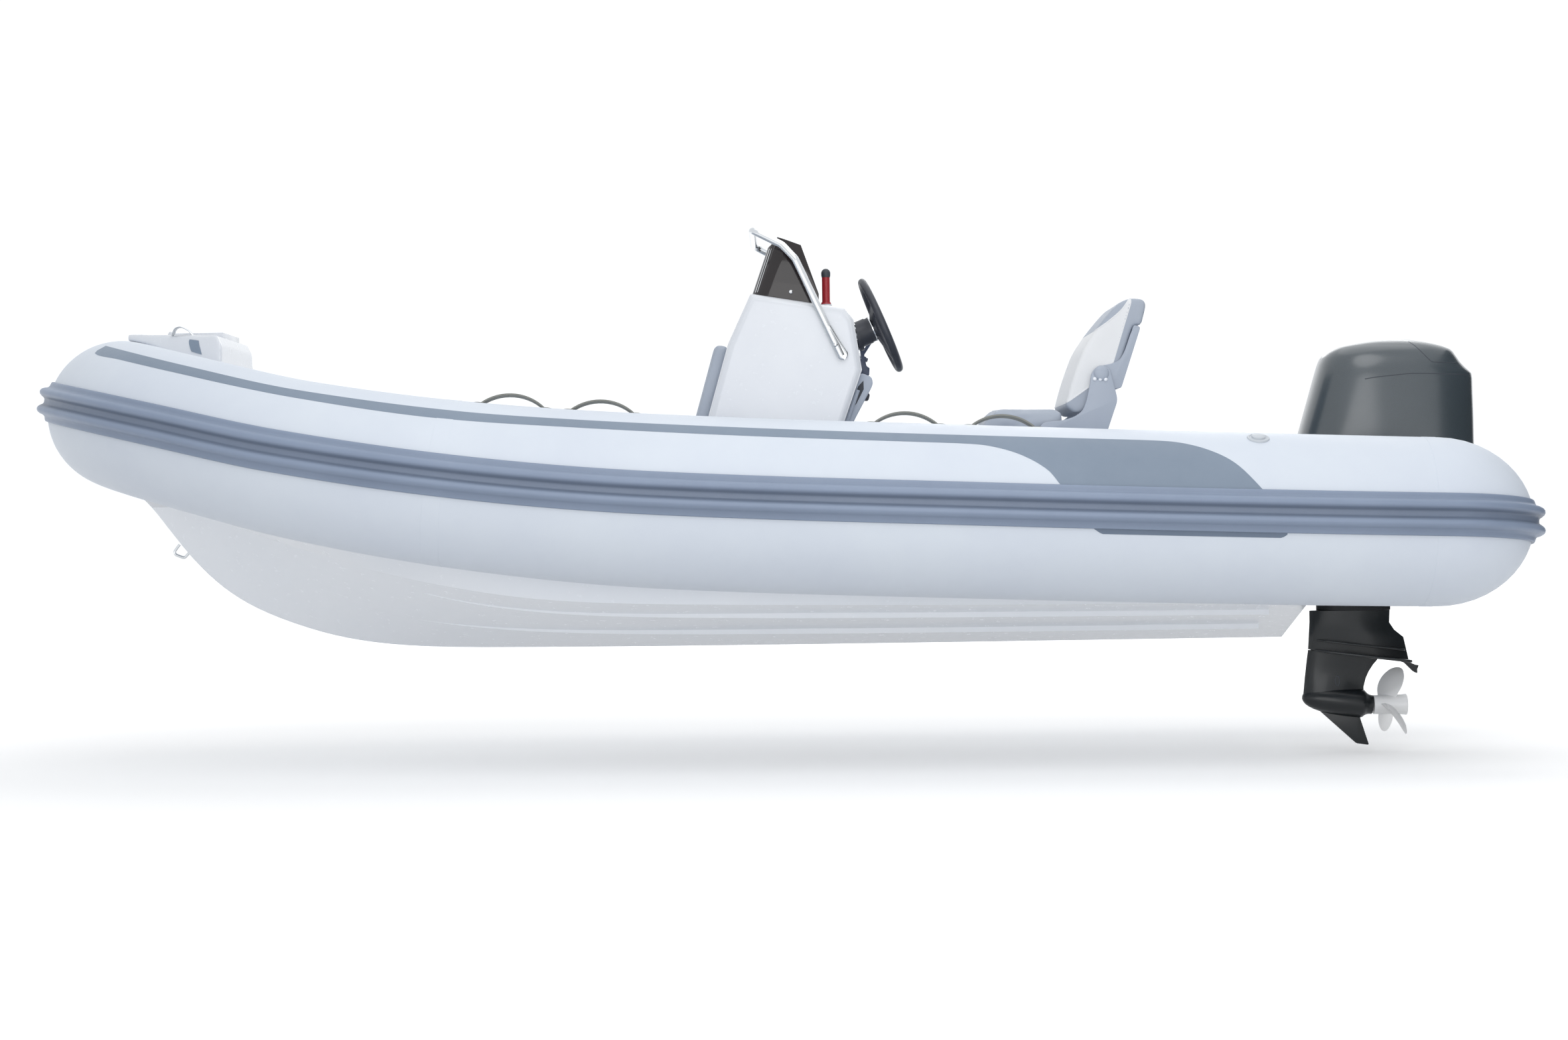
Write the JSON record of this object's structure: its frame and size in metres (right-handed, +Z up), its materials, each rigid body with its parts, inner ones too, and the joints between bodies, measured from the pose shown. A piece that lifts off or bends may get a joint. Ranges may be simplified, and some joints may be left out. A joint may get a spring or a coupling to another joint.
{
  "type": "rigid inflatable boat with outboard motor",
  "caption": "Rigid inflatable boat: moulded V hull, round air tubes, console with screen and wheel, folding helm seat and a tilting, steering outboard motor.",
  "frame": {"origin": "on the centreline at the waterline, halfway along the boat", "axes": "+X forward to the bow, +Y to port, +Z up"},
  "size_m": [5.0199, 2.1758, 1.8055],
  "materials": {
    "tube_fabric": "satin coated fabric",
    "rail_rubber": "satin moulded rubber",
    "gelcoat": "polished gelcoat",
    "deck_gelcoat": "moulded non-slip gelcoat",
    "grey_panel": "satin moulded plastic",
    "upholstery": "coated marine fabric",
    "stainless": "polished stainless steel",
    "smoked_screen": "smoked acrylic",
    "black_plastic": "satin black plastic",
    "valve_plastic": "satin plastic",
    "red_plastic": "gloss plastic",
    "motor_paint": "metallic dark grey gloss",
    "motor_casting": "gloss black paint on cast aluminium",
    "engine_block": "cast metal",
    "anode": "painted aluminium",
    "propeller_metal": "bright cast aluminium",
    "ram_steel": "ground steel"
  },
  "bodies": {
    "boat": {"hull": "gelcoat", "transom": "gelcoat", "bow_deck": "gelcoat", "deck_liner": "deck_gelcoat", "tube_port": "tube_fabric", "tube_starboard": "tube_fabric", "tube_bow": "tube_fabric", "rub_rail": "rail_rubber", "bow_step": "gelcoat", "bow_chocks": "stainless", "bow_eye": "stainless", "grab_straps_port": "rail_rubber", "grab_straps_starboard": "rail_rubber", "tube_valves": "valve_plastic", "stern_tow_eyes": "stainless", "console_shell": "gelcoat", "windscreen": "smoked_screen", "guard_rail": "stainless", "front_pad": "upholstery", "front_seat_base": "gelcoat", "front_seat_cushion": "upholstery", "helm_boss": "black_plastic", "switch_box": "black_plastic", "red_grip": "red_plastic", "helm_seat_base": "gelcoat", "helm_cushion": "upholstery", "seat_brackets": "grey_panel", "clamp_bracket": "motor_casting"},
    "bow_lid": {"bow_lid": "gelcoat"},
    "console_door": {"console_door": "grey_panel"},
    "steering_wheel": {"steering_wheel": "black_plastic"},
    "seat_back": {"seat_back_pad": "upholstery", "seat_back_shell": "grey_panel"},
    "swivel": {"swivel_bracket": "motor_casting"},
    "motor": {"cowl": "motor_paint", "cowl_tray": "motor_paint", "powerhead": "engine_block", "midsection": "motor_casting", "gearcase": "motor_casting", "trim_tab": "anode"},
    "propeller": {"propeller": "propeller_metal"},
    "ram_barrel": {"ram_barrel": "ram_steel"},
    "ram_rod": {"ram_rod": "ram_steel"}
  },
  "joints": [
    {"name": "lid_hinge", "type": "hinge", "parent": "boat", "child": "bow_lid", "pos_m": [2.03, 0, 0.901], "axis": [0, 1, 0], "range_deg": [0, 100]},
    {"name": "door_hinge", "type": "hinge", "parent": "boat", "child": "console_door", "pos_m": [-0.21225, 0.176, 0.29724], "axis": [0.3329, 0, -0.943], "range_deg": [0, 95]},
    {"name": "wheel_turn", "type": "hinge", "parent": "boat", "child": "steering_wheel", "pos_m": [-0.432, 0, 0.904], "axis": [-0.9212, 0, 0.3891], "range_deg": [-720, 720]},
    {"name": "seat_back_fold", "type": "hinge", "parent": "boat", "child": "seat_back", "pos_m": [-1.167, 0, 0.712], "axis": [0, 1, 0], "range_deg": [0, 100]},
    {"name": "motor_tilt", "type": "hinge", "parent": "boat", "child": "swivel", "pos_m": [-1.838, 0, 0.33], "axis": [0, 1, 0], "range_deg": [0, 65]},
    {"name": "motor_steer", "type": "hinge", "parent": "swivel", "child": "motor", "pos_m": [-1.908, 0, 0.194], "axis": [0, 0, 1], "range_deg": [-30, 30]},
    {"name": "propeller_spin", "type": "hinge", "parent": "motor", "child": "propeller", "pos_m": [-2.13, 0, -0.441], "axis": [1, 0, 0], "continuous": true},
    {"name": "ram_swing", "type": "hinge", "parent": "boat", "child": "ram_barrel", "pos_m": [-1.842, 0, 0.068], "axis": [0, -1, 0], "range_deg": [0, 12.54]},
    {"name": "ram_slide", "type": "slide", "parent": "ram_barrel", "child": "ram_rod", "axis": [-0.0412, 0, 0.9992], "range_m": [0, 0.0599]}
  ],
  "couplings": [
    {"joint": "wheel_turn", "follows": "motor_steer", "ratio": -24},
    {"joint": "ram_swing", "follows": "motor_tilt", "ratio": 0.1853},
    {"joint": "ram_slide", "follows": "motor_tilt", "m_per_rad": 0.05103}
  ]
}
